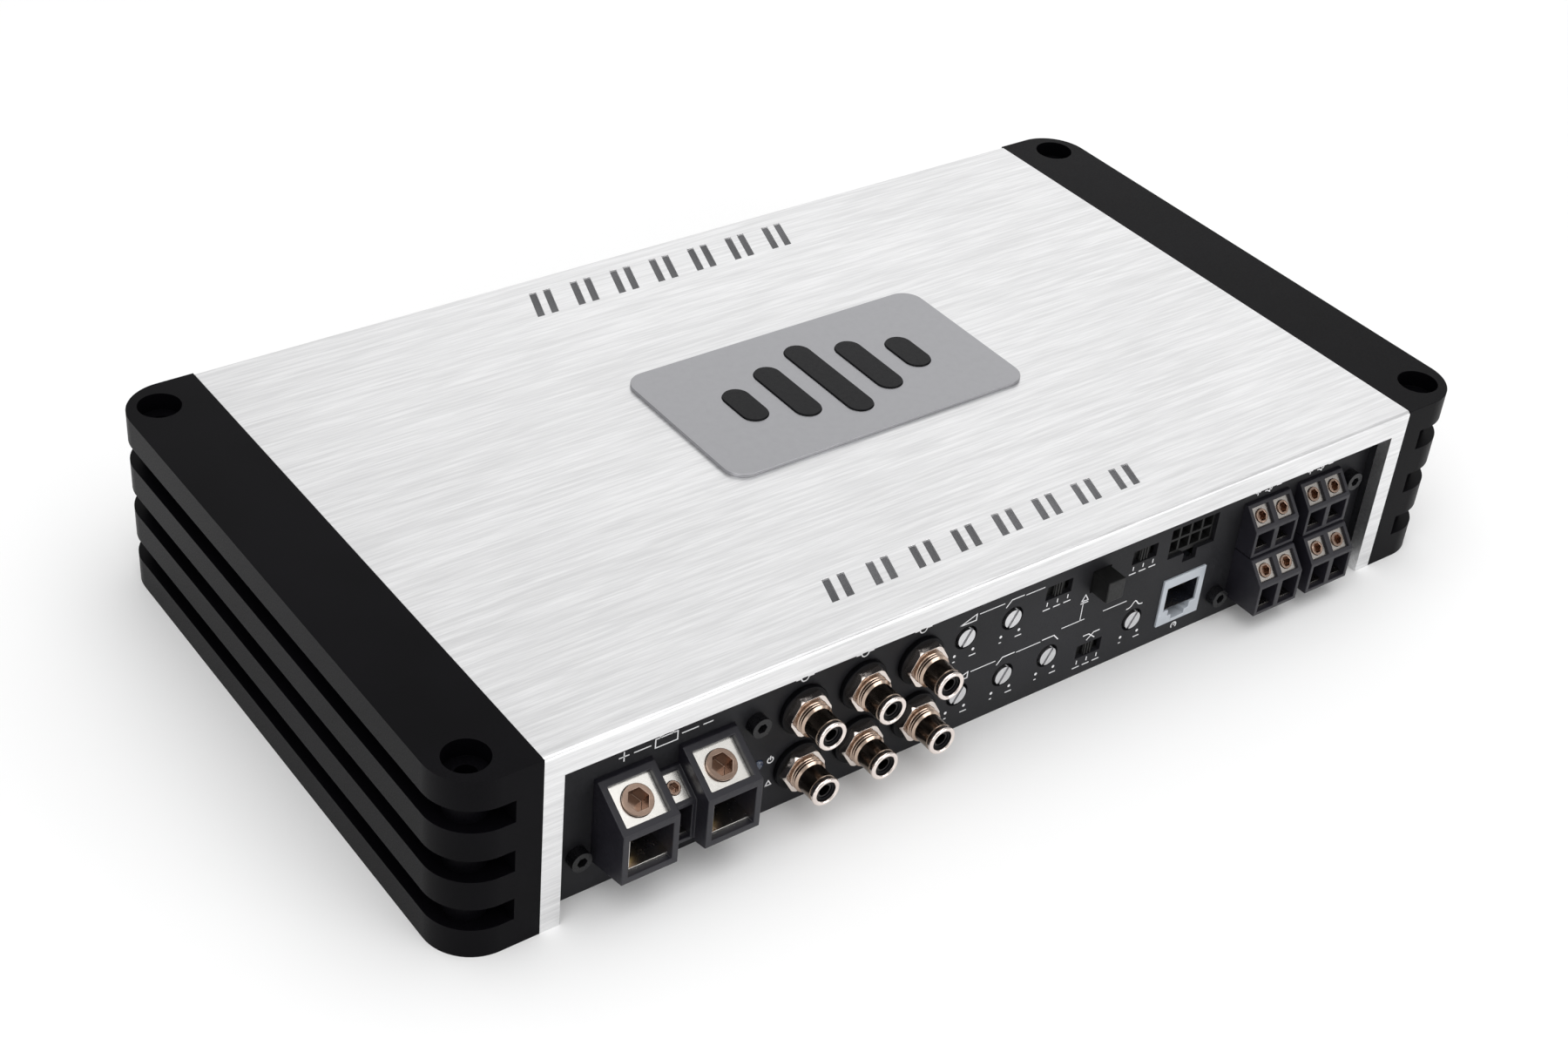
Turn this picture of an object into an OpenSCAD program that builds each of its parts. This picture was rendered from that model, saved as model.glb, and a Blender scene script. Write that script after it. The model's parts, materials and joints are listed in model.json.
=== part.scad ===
// Four-channel car audio amplifier: a brushed aluminium cover between two
// finned end caps, with every connector and control on the front panel.
//
// X runs along the long side, Y from the connector side (-Y) to the back,
// Z up. The origin is at the middle of the footprint, on the mounting surface.

/* [Body] */
// Overall length, over both end caps
body_length = 330; // [325:1:400]
// Depth of the body, without the jacks
body_depth = 178; // [160:1:230]
// Height of the body, without the badge
body_height = 54; // [54:1:80]
// Thickness of the cover's top and flanges
cover_wall = 4; // [3:0.1:5]
// Radius along the cover's long top edges
cover_edge = 1.2; // [0.6:0.1:2]
// Thickness of the base plate
base_thick = 2.5; // [2:0.1:3]

/* [End caps] */
// Width of each end cap, outside the cover
cap_width = 23.5; // [19:0.5:29]
// Radius of the outer upright corners
cap_corner = 13; // [8:0.5:14]
// Number of grooves between the fins
groove_count = 3; // [2:1:4]
// Height of each groove
groove_height = 6.5; // [4:0.1:7]
// Depth of each groove
groove_depth = 8; // [5:0.1:9]
// Distance from the seam to the square end of a groove
groove_stop = 7; // [5:0.5:9]
// How far the cap's tongue reaches under the cover
tongue_length = 8; // [6:0.5:9]

/* [Mounting holes] */
// Diameter of the four mounting holes
mount_bore = 5.5; // [4:0.1:6.5]
// Diameter of the screw head's seat
mount_seat = 11.5; // [9:0.1:12]
// Depth of the seat
mount_seat_depth = 5; // [3:0.1:6]
// Distance from a cap's outer side to the hole's axis
mount_inset_x = 9.5; // [8:0.5:11]
// Distance from the front and back faces to the hole's axis
mount_inset_y = 10; // [8:0.5:12]
// Wall of the boss round a hole, inside the grooves
mount_boss_wall = 2.6; // [2:0.1:3]

/* [Connector window] */
// Width of the cover beside the window
window_side = 5.5; // [4:0.1:8]
// Height of the cover above the window
window_band = 7; // [6:0.1:9]
// Thickness of the connector panel
panel_thick = 1.5; // [1:0.1:2]
// How far the panel reaches behind the cover
panel_lap = 2.8; // [2:0.1:3]
// How far the panel's face is set back behind the cover's wall
panel_step = 2.5; // [1:0.1:4]

/* [Power terminals] */
// Width of one power block
power_width = 15.8; // [13:0.1:17]
// Clear space between the power blocks
power_space = 7.8; // [7:0.1:9]
// Distance from the window's edge to the first block
power_margin = 12.3; // [9:0.1:13]
// Diameter of the power clamp screws
power_screw_d = 8; // [6:0.1:8.5]
// Diameter of the remote clamp screw
remote_screw_d = 3.6; // [3:0.1:4]

/* [Speaker terminals] */
// Distance between the two poles of a block
pole_pitch = 8.2; // [7:0.1:8.4]
// Distance between the blocks of a row
speaker_pitch = 20.7; // [18:0.1:21]
// Diameter of the speaker clamp screws
speaker_screw_d = 4; // [3:0.1:4.6]

/* [Phono jacks] */
// Distance between neighbouring jacks of a row
jack_pitch_x = 18.4; // [15:0.1:18.6]
// Distance between the two rows
jack_pitch_z = 18; // [15:0.1:18.4]
// Height of the lower row
jack_low = 12.5; // [10:0.1:13]
// Outer diameter that a plug slides over
jack_plug_d = 8.3; // [8:0.05:8.6]
// How far a jack stands out from the panel
jack_reach = 13; // [12:0.5:18]

/* [Controls] */
// Diameter of a trimmer's slotted end
trimmer_d = 5.5; // [4:0.1:6]
// Distance between neighbouring control columns
control_pitch = 15.6; // [14:0.1:16]
// Length of the switch windows
switch_window_x = 9; // [8:0.1:10]
// Height of the switch windows
switch_window_z = 4.4; // [4:0.1:5]
// Travel of a slide switch to each side
switch_travel = 2; // [1:0.1:2.2]
// Width of the input mode button
button_x = 6; // [5:0.1:7]
// Height of the input mode button
button_z = 6.6; // [5:0.1:7]

/* [Sockets] */
// Distance between the contacts of the eight-way header
header_pitch = 4.2; // [4:0.05:4.4]
// Width of the remote control socket
socket_x = 15.8; // [14:0.1:16]
// Height of the remote control socket
socket_z = 16; // [14:0.1:16.5]

/* [Badge] */
// Width of the badge plate
badge_x = 100; // [70:1:112]
// Depth of the badge plate
badge_y = 54; // [40:1:64]
// Thickness of the badge plate
badge_thick = 1; // [0.8:0.1:2]

/* [Hidden] */
$fn = 48;

// Clearances
fit_gap = 0.3;      // between loose neighbours
thread_gap = 0.05;  // round a screw in its hole
spin_gap = 0.08;    // round a turning shaft
slide_gap = 0.1;    // round a sliding piece
cut = 1;            // how far a cutting tool runs past a face
weld = 0.01;        // overlap that makes touching shapes one solid

// Body
jack_tip = jack_reach - cover_wall - panel_step;
y_front = (jack_tip - body_depth) / 2;
y_back = y_front + body_depth;
y_middle = (y_front + y_back) / 2;
y_panel = y_front + cover_wall + panel_step;
y_inside = y_panel + panel_thick;
x_seam = body_length / 2 - cap_width;
x_tongue = x_seam - tongue_length;
x_window = x_seam - window_side;
z_window = body_height - window_band;
z_ceiling = body_height - cover_wall;

// Cover screws, threaded into ports under the cover's top
fin_height = (body_height - groove_count * groove_height) / (groove_count + 1);
groove_step = fin_height + groove_height;
port_width = 9;
port_z = body_height - fin_height - groove_height / 2;
port_y = body_depth * 0.31;
port_depth = 12;
cap_screw_d = 4;
cap_head_d = 6;
cap_head_h = 3;
cap_key = 3;
cap_screw_length = cap_width - groove_depth + tongue_length + port_depth - 1;

// Base plate
base_screw_d = 3;
base_head_d = 5.6;
base_head_h = 1.6;
base_screw_length = 9;
base_cross = [3.2, 0.7, 1];
base_screw_rows = [-60, 0, 60];
base_screw_x = (x_seam + x_tongue) / 2;
tab_width = 6.5;
tab_thick = 3;
tab_rise = 4;
tab_hole = 20;

// Panel screws: distance from the window's left or right edge, and height
panel_screw_d = 3;
panel_head_d = 5.6;
panel_head_h = 3;
panel_key = 2.5;
panel_screws_at = [
    [-x_window + 8, 13], [-x_window + 58, 32],
    [x_window - 54, 8.5], [x_window - 6.5, 32]
];

// Circuit board
board_z = 4.5;
board_thick = 1.6;
board_top = board_z + board_thick;
board_hole_d = 3.2;
board_gap = 2;
standoff_d = 6;
board_posts = [
    for (x = [-1, 0, 1], y = [y_inside + 25, y_back - cover_wall - 22])
        [x * (x_tongue - 18), y]
];

// Parts on the board: filter cans as [x, y, diameter, height], wound rings as
// [x, y, radius, height], and the row of power transistors
cans = [
    for (index = [0 : 3]) [-x_tongue + 24 + index * 20, y_back - 62, 16, 28],
    for (index = [0 : 2]) [x_tongue - 28 - index * 16, y_back - 66, 12, 22]
];
coils = [
    [-18, y_back - 66, 22, 15], [24, y_back - 66, 16, 12],
    [-78, y_front + 52, 12, 10], [62, y_front + 52, 12, 10]
];
transistor_count = 10;
transistor_step = 24;
transistor_size = [10, 4.5, 15];
transistor_leg = [0.8, 0.7, 3];
leg_step = 2.5;

// A terminal's outline: reach, reach of the sloping face's top edge, underside
// at the front, underside at the panel, ridge and top heights, inner depth
power_shape = [13, 1.2, 11.7, 9, 26.8, 34.8, 9];
remote_shape = [8.4, 0.6, 11.7, 9, 24.1, 29.4, 9];
lower_shape = [11.6, 6.6, board_top, board_top, 16.2, 22.3, 10];
upper_shape = [6, 1, 22.6, 22.6, 31.4, 37.5, 10];

// Power terminals
power_rim = 1.8;
power_x = [
    -x_window + power_margin + power_width / 2,
    -x_window + power_margin + power_width * 1.5 + power_space
];
remote_x = (power_x[0] + power_x[1]) / 2;
remote_width = power_space - 2 * slide_gap;
remote_rim = 1.1;
housing_leg = [3, 3.5];
housing_leg_x = power_space / 2 + power_width - 2;

// Inside the terminals: a threaded plate's front and back depths under the
// sloping face with the metal's thickness, then the wells and clamp screws
power_plate = [1.6, 4.6, 1.1];
remote_plate = [0.8, 2.4, 0.6];
speaker_plate = [0.9, 2.5, 0.6];
power_well = 13;
small_well = 9;
housing_back = 2;
contact_sink = 1.5;
power_screw_length = 9;
small_screw_length = 4.6;
power_pad_thick = 1.4;
small_pad_thick = 0.8;

// Clamp screws: the key's size across its flats and its depth, against the
// screw's diameter
clamp_key = 0.64;
clamp_key_depth = 0.65;

// Speaker terminals: two blocks in each of two rows, two poles a block
speaker_rim = 1.1;
speaker_width = pole_pitch + 8.6;
speaker_margin = 11.5;
speaker_x = [
    x_window - speaker_margin - speaker_width / 2 - speaker_pitch,
    x_window - speaker_margin - speaker_width / 2
];
pole_width = 6.3;

// Phono jacks
jack_x0 = power_x[1] + power_width / 2 + 20.4;
jack_columns = 3;
jack_thread_d = 9.4;
jack_nut_flats = 11.2;
jack_nut_h = 2.4;
jack_washer_d = 14;
jack_washer_h = 1.6;
jack_shoulder_d = 11;
jack_neck = 6;
jack_core_d = 6.6;
jack_core_sink = 0.8;
jack_contact_sink = 1.1;
jack_contact_d = 4.2;
jack_pin_hole_d = 3.2;
jack_pin_hole_depth = jack_reach - 2;
jack_rear = 8;
jack_tail = 4;
jack_lip = 0.4;

// Controls: five columns, the first beside the last phono jack
control_x0 = jack_x0 + (jack_columns - 1) * jack_pitch_x + 15.2;
control_low = 12;
control_high = 31;
switch_high = 34.3;
switch_low = 8.2;
button_height = 32;
button_reach = 6;
button_travel = 2.5;
trimmer_hole_d = trimmer_d + 1.7;
trimmer_proud = 0.4;
trimmer_length = 7;
trimmer_body = 9;
trimmer_body_depth = 8;
trimmer_angle = 60;
slot_width = 0.9;
slot_depth = 1;
switch_wall = 1;
switch_body_depth = 7;
slider_x = 3;
slider_recess = 0.6;
slider_plate = 2;
slider_depth = 3;
slider_rib = [0.5, 0.4];
slide_case_x = slider_x + 2 * switch_travel + 2 * slider_plate + 2 * fit_gap;
slide_case_z = switch_window_z - 2 * slide_gap;
button_flange = 1.2;
button_flange_depth = 2;
button_depth = 8;
button_case = [4.4, 3.4];
button_case_inner = button_depth + button_travel + 0.5;

// Sockets, from the window's right edge
socket_at = [x_window - 68, 13.2];
header_at = [x_window - 67.8, 33.6];
header_columns = 4;
header_rows = 2;
header_rim = 0.6;
header_cell = 3.4;
header_depth = 12;
header_sink = 1.2;
header_floor = 2;
header_x = header_columns * header_pitch + header_rim;
header_z = header_rows * header_pitch + 2 * header_rim;
latch_x = 5;
latch_z = 3.2;
latch_bar = 1;
latch_depth = 8;
contact_pin = 1;
socket_depth = 14;
socket_proud = 0.5;
socket_floor = 2;
socket_mouth_x = 12;
socket_mouth_z = 8;
socket_mouth_rise = 0.8;
// Steps below the socket's mouth for the plug's latch, as [width, height, drop
// of the step's middle below the mouth]
socket_keys = [[8, 2, 1], [5, 1.6, 2.8]];

// Status lights
led_d = 2.9;
led_x = power_x[1] + power_width / 2 + 8.6;
led_heights = [9.5, 17];
led_dome = 0.7;

// Badge: a plate with a row of level bars, on two pins
badge_corner = 6;
badge_at = [6, y_front + body_depth * 0.52];
badge_pin_d = 3;
badge_pin_x = badge_x / 2 - 9;
badge_pin_length = 1.9;
badge_hole = 2;
inlay_rise = 0.4;
bar_heights = [16, 26, 36, 26, 16];
bar_width = 8;
bar_step = 14;

// Engraved rows of slanted strokes, in pairs, as [y, pairs, height]
engrave_depth = 0.6;
stroke_width = 2.2;
stroke_step = 4.6;
stroke_lean = 0.35;
pair_step = 13.6;
engraved_rows = [[y_back - 13, 7, 12], [y_front + 17.2, 8, 8.5]];

// Trimmers, switches and jacks on the panel, as [x, z]
trimmers = [
    [control_x0, control_high],
    [control_x0 + control_pitch, control_high],
    [control_x0, control_low],
    [control_x0 + control_pitch, control_low],
    [control_x0 + 2 * control_pitch, control_low],
    [control_x0 + 4 * control_pitch - 0.5, control_low]
];
switches = [
    [control_x0 + 2 * control_pitch, switch_high],
    [control_x0 + 3 * control_pitch, switch_low],
    [control_x0 + 4 * control_pitch - 0.5, switch_high]
];
button_at = [control_x0 + 3 * control_pitch - 0.5, button_height];
jacks = [
    for (column = [0 : jack_columns - 1], row = [0, 1])
        [jack_x0 + column * jack_pitch_x, jack_low + row * jack_pitch_z]
];
// Speaker poles, left to right, upper row first, as [x, outline]
poles = [
    for (shape = [upper_shape, lower_shape], x = speaker_x, side = [-1, 1])
        [x + side * pole_pitch / 2, shape]
];

// Sloping face of a terminal: tilt of its normal from upright, and its centre
function face_tilt(s) = atan2(s[5] - s[4], s[0] - s[1]);
function face_length(s) = norm([s[5] - s[4], s[0] - s[1]]);
function face_y(s) = y_panel - (s[0] + s[1]) / 2;
function face_z(s) = (s[4] + s[5]) / 2;

// How far a clamp screw stands out of its threaded plate when open
function screw_rise(d) = d * 0.12;

// ---- Helpers ----

// Places children on the panel's face, with +Z pointing out of the panel
module on_panel(at, out = 0) {
    translate([at[0], y_panel - out, at[1]])
        rotate([90, 0, 0])
            children();
}

// Places children on a terminal's sloping face, with +Z out along the screw
module on_face(x, shape) {
    translate([x, face_y(shape), face_z(shape)])
        rotate([face_tilt(shape), 0, 0])
            children();
}

// A box given by its X centre and the ends of its Y and Z spans
module span_box(x, width, y0, y1, z0, z1) {
    translate([x - width / 2, y0, z0])
        cube([width, y1 - y0, z1 - z0]);
}

// Flat shape with two rounded corners, on the side of +Y
module two_round(width, depth, radius) {
    square([width, depth - radius]);
    translate([radius, 0])
        square([width - 2 * radius, depth]);
    intersection() {
        square([width, depth]);
        for (x = [radius, width - radius])
            translate([x, depth - radius])
                circle(radius);
    }
}

// Flat plate outline with four rounded corners, centred
module four_round(width, depth, radius) {
    square([width - 2 * radius, depth], center = true);
    square([width, depth - 2 * radius], center = true);
    for (x = [-1, 1], y = [-1, 1])
        translate([x * (width / 2 - radius), y * (depth / 2 - radius)])
            circle(radius);
}

// ---- Body ----

module top_cover() {
    color("#dcdcdd")
    difference() {
        translate([-x_seam, y_front, 0])
            rotate([90, 0, 90])
                linear_extrude(2 * x_seam)
                    difference() {
                        two_round(body_depth, body_height, cover_edge);
                        translate([cover_wall, -cut])
                            square([body_depth - 2 * cover_wall, z_ceiling + cut]);
                    }
        span_box(0, 2 * x_window, y_front - cut, y_panel + cut, -cut, z_window);
        engraved_marks();
        badge_pin_holes();
    }
    color("#dcdcdd")
    cover_ports();
}

// Ribs under the top that the end cap screws thread into
module cover_ports() {
    for (side = [-1, 1])
        difference() {
            span_box(0, 2 * (x_tongue - fit_gap), y_middle + side * port_y - port_width / 2,
                y_middle + side * port_y + port_width / 2,
                port_z - port_width / 2, z_ceiling);
            for (end = [-1, 1])
                translate([end * (x_tongue - port_depth), y_middle + side * port_y, port_z])
                    rotate([0, end * 90, 0])
                        cylinder(h = port_depth + cut, d = cap_screw_d + 2 * thread_gap);
        }
}

// Rows of paired slanted strokes along the back and front of the top
module engraved_marks() {
    for (row = engraved_rows, pair = [0 : row[1] - 1], side = [-0.5, 0.5])
        translate([(pair - (row[1] - 1) / 2) * pair_step + side * stroke_step, row[0],
            body_height - engrave_depth])
            linear_extrude(engrave_depth + cut)
                slanted_stroke(row[2]);
}

module slanted_stroke(height) {
    lean = height * stroke_lean / 2;
    half = stroke_width / 2;
    polygon([
        [-half - lean, -height / 2], [half - lean, -height / 2],
        [half + lean, height / 2], [-half + lean, height / 2]
    ]);
}

module badge_pin_holes() {
    for (side = [-1, 1])
        translate([badge_at[0] + side * badge_pin_x, badge_at[1], body_height - badge_hole])
            cylinder(h = badge_hole + cut, d = badge_pin_d + 2 * thread_gap);
}

// One end cap, on the +X side
module end_cap() {
    difference() {
        union() {
            translate([x_seam, y_back, 0])
                rotate([0, 0, -90])
                    linear_extrude(body_height)
                        two_round(body_depth, cap_width, cap_corner);
            span_box((x_seam + x_tongue) / 2, tongue_length, y_inside + fit_gap,
                y_back - cover_wall - slide_gap, base_thick, z_ceiling - slide_gap);
        }
        for (index = [0 : groove_count - 1])
            translate([0, 0, fin_height + index * groove_step])
                end_cap_groove();
        for (y = [y_front + mount_inset_y, y_back - mount_inset_y])
            translate([body_length / 2 - mount_inset_x, y, 0]) {
                translate([0, 0, -cut])
                    cylinder(h = body_height + 2 * cut, d = mount_bore);
                translate([0, 0, body_height - mount_seat_depth])
                    cylinder(h = mount_seat_depth + cut, d = mount_seat);
            }
        for (side = [-1, 1])
            translate([x_tongue - cut, y_middle + side * port_y, port_z])
                rotate([0, 90, 0])
                    cylinder(h = cap_width + tongue_length + 2 * cut, d = cap_screw_d + 2 * thread_gap);
        for (y = base_screw_rows)
            translate([base_screw_x, y_middle + y, base_thick - cut])
                cylinder(h = base_screw_length + 2 * cut, d = base_screw_d + 2 * thread_gap);
    }
}

// The groove between two fins: it stops short of the seam and goes round the
// bosses of the mounting holes
module end_cap_groove() {
    core_x = cap_width - groove_depth;
    difference() {
        span_box(x_seam + groove_stop + cap_width / 2, cap_width, y_front - cut, y_back + cut,
            0, groove_height);
        translate([x_seam, y_back - groove_depth, -cut])
            rotate([0, 0, -90])
                linear_extrude(groove_height + 2 * cut)
                    two_round(body_depth - 2 * groove_depth, core_x, cap_corner - groove_depth);
        for (y = [y_front + mount_inset_y, y_back - mount_inset_y])
            translate([body_length / 2 - mount_inset_x, y, -cut])
                cylinder(h = groove_height + 2 * cut, d = mount_bore + 2 * mount_boss_wall);
    }
}

module left_end_cap() {
    color("#1d1d1f")
    mirror([1, 0, 0])
        end_cap();
}

module right_end_cap() {
    color("#1d1d1f")
    end_cap();
}

module end_cap_screws() {
    color("#2a2a2c")
    for (end = [-1, 1], side = [-1, 1])
        translate([end * (body_length / 2 - groove_depth), y_middle + side * port_y, port_z])
            rotate([0, end * 90, 0])
                socket_screw(cap_screw_d, cap_screw_length, cap_head_d, cap_head_h, cap_key);
}

// A socket-head screw: its head stands on Z = 0 and its shank hangs below
module socket_screw(d, length, head_d, head_h, key) {
    difference() {
        union() {
            cylinder(h = head_h, d = head_d);
            translate([0, 0, -length])
                cylinder(h = length + weld, d = d);
        }
        translate([0, 0, head_h * 0.4])
            cylinder(h = head_h, d = key / cos(30), $fn = 6);
    }
}

module base_plate() {
    color("#6f7175")
    difference() {
        union() {
            span_box(0, 2 * x_seam - 2 * slide_gap, y_inside + slide_gap,
                y_back - cover_wall - slide_gap, 0, base_thick);
            for (at = panel_screws_at)
                span_box(at[0], tab_width, y_inside + slide_gap, y_inside + slide_gap + tab_thick,
                    0, at[1] + tab_rise);
            for (at = board_posts)
                translate([at[0], at[1], 0])
                    cylinder(h = board_z, d = standoff_d);
        }
        for (at = panel_screws_at)
            on_panel(at, cut)
                translate([0, 0, -tab_hole])
                    cylinder(h = tab_hole, d = panel_screw_d + 2 * thread_gap);
        for (side = [-1, 1], y = base_screw_rows)
            translate([side * base_screw_x, y_middle + y, 0]) {
                translate([0, 0, -cut])
                    cylinder(h = base_thick + 2 * cut, d = base_screw_d + 2 * thread_gap);
                translate([0, 0, -cut])
                    cylinder(h = base_head_h + cut + thread_gap, d = base_head_d + 2 * thread_gap);
            }
    }
}

module base_screws() {
    color("#8b8d90")
    for (side = [-1, 1], y = base_screw_rows)
        translate([side * base_screw_x, y_middle + y, base_head_h])
            rotate([180, 0, 0])
                difference() {
                    union() {
                        cylinder(h = base_head_h - slide_gap, d = base_head_d);
                        translate([0, 0, -base_screw_length])
                            cylinder(h = base_screw_length + weld, d = base_screw_d);
                    }
                    for (turn = [0, 90])
                        rotate([0, 0, turn])
                            translate([-base_cross[0] / 2, -base_cross[1] / 2, base_head_h - base_cross[2]])
                                cube([base_cross[0], base_cross[1], base_cross[2] + cut]);
                }
}

// ---- Connector panel ----

module connector_panel() {
    color("#2c2c30")
    difference() {
        union() {
            span_box(0, 2 * (x_window + panel_lap), y_panel, y_inside, 0, z_window + panel_lap);
            panel_rim();
        }
        for (at = panel_screws_at)
            panel_hole(at, panel_screw_d + 2 * thread_gap);
        for (at = jacks)
            panel_hole(at, jack_shoulder_d + 2 * thread_gap);
        for (at = trimmers)
            panel_hole(at, trimmer_hole_d);
        for (at = switches)
            panel_window(at, switch_window_x, switch_window_z);
        panel_window(button_at, button_x + 2 * fit_gap, button_z + 2 * fit_gap);
        panel_window(socket_at, socket_x + 2 * slide_gap, socket_z + 2 * slide_gap);
        panel_window(header_at, header_x + 2 * slide_gap, header_z + 2 * slide_gap);
        panel_window([header_at[0], header_at[1] - header_z / 2 - latch_z / 2],
            latch_x, latch_z + 2 * slide_gap);
        for (z = led_heights)
            panel_hole([led_x, z], led_d + 2 * slide_gap);
        power_opening();
        for (x = speaker_x, shape = [lower_shape, upper_shape])
            span_box(x, speaker_width + 2 * slide_gap, y_panel - cut, y_inside + cut,
                shape[3] - slide_gap, shape[5] + slide_gap);
    }
}

// Turned edge that closes the step between the cover's wall and the panel
module panel_rim() {
    difference() {
        span_box(0, 2 * (x_window + panel_lap), y_panel - panel_step, y_panel + weld,
            0, z_window + panel_lap);
        span_box(0, 2 * (x_window + fit_gap), y_panel - panel_step - cut, y_panel + cut,
            -cut, z_window + fit_gap);
    }
}

module power_opening() {
    for (x = power_x)
        span_box(x, power_width + 2 * slide_gap, y_panel - cut, y_inside + cut,
            power_shape[3] - slide_gap, power_shape[5] + slide_gap);
    span_box(remote_x, remote_width + 1, y_panel - cut, y_inside + cut,
        remote_shape[3] - slide_gap, remote_shape[5] + slide_gap);
}

module panel_hole(at, d) {
    on_panel(at, cut)
        translate([0, 0, -panel_thick - 2 * cut])
            cylinder(h = panel_thick + 2 * cut, d = d);
}

module panel_window(at, width, height) {
    span_box(at[0], width, y_panel - cut, y_inside + cut, at[1] - height / 2, at[1] + height / 2);
}

module panel_screws() {
    color("#232325")
    for (at = panel_screws_at)
        on_panel(at)
            socket_screw(panel_screw_d, panel_thick + tab_thick, panel_head_d, panel_head_h,
                panel_key);
}

// ---- Badge ----

module badge_plate() {
    color("#9a9b9f")
    translate([badge_at[0], badge_at[1], body_height]) {
        linear_extrude(badge_thick)
            difference() {
                four_round(badge_x, badge_y, badge_corner);
                badge_bars(thread_gap);
            }
        for (side = [-1, 1])
            translate([side * badge_pin_x, 0, -badge_pin_length])
                cylinder(h = badge_pin_length + weld, d = badge_pin_d);
    }
}

// A row of level bars with round ends
module badge_bars(grow = 0) {
    for (index = [0 : len(bar_heights) - 1])
        translate([(index - (len(bar_heights) - 1) / 2) * bar_step, 0])
            four_round(bar_width + 2 * grow, bar_heights[index] + 2 * grow, bar_width / 2 - weld + grow);
}

module badge_inlay() {
    color("#141415")
    translate([badge_at[0], badge_at[1], body_height])
        linear_extrude(badge_thick + inlay_rise)
            badge_bars();
}

// ---- Inside ----

module main_board() {
    notch_x0 = switches[1][0] - slide_case_x / 2 - board_gap;
    notch_x1 = socket_at[0] + socket_x / 2 + board_gap;
    color("#1f5a34")
    difference() {
        span_box(0, 2 * (x_tongue - board_gap), y_inside + tab_thick + board_gap,
            y_back - cover_wall - board_gap, board_z, board_top);
        for (at = board_posts)
            translate([at[0], at[1], board_z - cut])
                cylinder(h = board_thick + 2 * cut, d = board_hole_d);
        span_box((notch_x0 + notch_x1) / 2, notch_x1 - notch_x0, y_inside,
            y_panel + socket_depth + board_gap, board_z - cut, board_top + cut);
    }
}

module capacitors() {
    color("#22335c")
    for (can = cans)
        translate([can[0], can[1], board_top])
            can_capacitor(can[2], can[3]);
}

module can_capacitor(d, h) {
    groove = 0.6;
    rotate_extrude()
        polygon([
            [0, 0], [d / 2, 0], [d / 2, 2], [d / 2 - groove, 2.6], [d / 2 - groove, 3.4],
            [d / 2, 4], [d / 2, h - 0.8], [d / 2 - 0.8, h], [0, h]
        ]);
}

module toroid_coils() {
    color("#b0672e")
    for (coil = coils)
        translate([coil[0], coil[1], board_top])
            toroid(coil[2], coil[3]);
}

// A wound ring lying flat
module toroid(radius, height) {
    corner = height * 0.28;
    rotate_extrude()
        translate([radius * 0.72, height / 2])
            four_round(radius * 0.56, height, corner);
}

module power_transistors() {
    foot = transistor_leg[2];
    y_leg = -transistor_size[1] / 2;
    color("#1b1b1d")
    for (index = [0 : transistor_count - 1])
        translate([(index - (transistor_count - 1) / 2) * transistor_step, y_back - cover_wall,
            board_top + foot]) {
            span_box(0, transistor_size[0], -transistor_size[1], 0, 0, transistor_size[2]);
            for (leg = [-1, 0, 1])
                span_box(leg * leg_step, transistor_leg[0], y_leg - transistor_leg[1] / 2,
                    y_leg + transistor_leg[1] / 2, -foot, weld);
        }
}

// ---- Screw terminals ----

// Outer form of a terminal block
module terminal_outline(x, width, shape) {
    translate([x - width / 2, y_panel, 0])
        rotate([90, 0, 90])
            linear_extrude(width)
                polygon([
                    [-shape[0], shape[2]], [-shape[0], shape[4]], [-shape[1], shape[5]],
                    [shape[6], shape[5]], [shape[6], shape[3]], [0, shape[3]]
                ]);
}

// What one pole removes from its block: a screw well behind the sloping face
// and a wire entry behind the upright face, cut as one profile
module pole_hollow(x, width, shape, rim, well_depth) {
    well = face_length(shape) - 2 * rim;
    translate([x - width / 2, y_panel, 0])
        rotate([90, 0, 90])
            linear_extrude(width) {
                translate([face_y(shape) - y_panel, face_z(shape)])
                    rotate(face_tilt(shape))
                        translate([-well / 2, -well_depth])
                            square([well, well_depth + cut]);
                translate([-shape[0] - cut, shape[2] + rim])
                    square([shape[0] + cut + shape[6] - housing_back, shape[4] - shape[2] - 2 * rim]);
            }
}

module power_terminal_housing() {
    color("#3a3941")
    difference() {
        union() {
            for (x = power_x)
                terminal_outline(x, power_width, power_shape);
            terminal_outline(remote_x, power_space + power_rim, remote_shape);
            for (side = [-1, 1])
                span_box(remote_x + side * housing_leg_x, housing_leg[0],
                    y_panel + power_shape[6] - housing_leg[1], y_panel + power_shape[6],
                    board_top, power_shape[3] + weld);
        }
        for (x = power_x)
            pole_hollow(x, power_width - 2 * power_rim, power_shape, power_rim, power_well);
        pole_hollow(remote_x, remote_width - 2 * remote_rim, remote_shape, remote_rim, small_well);
    }
}

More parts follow.
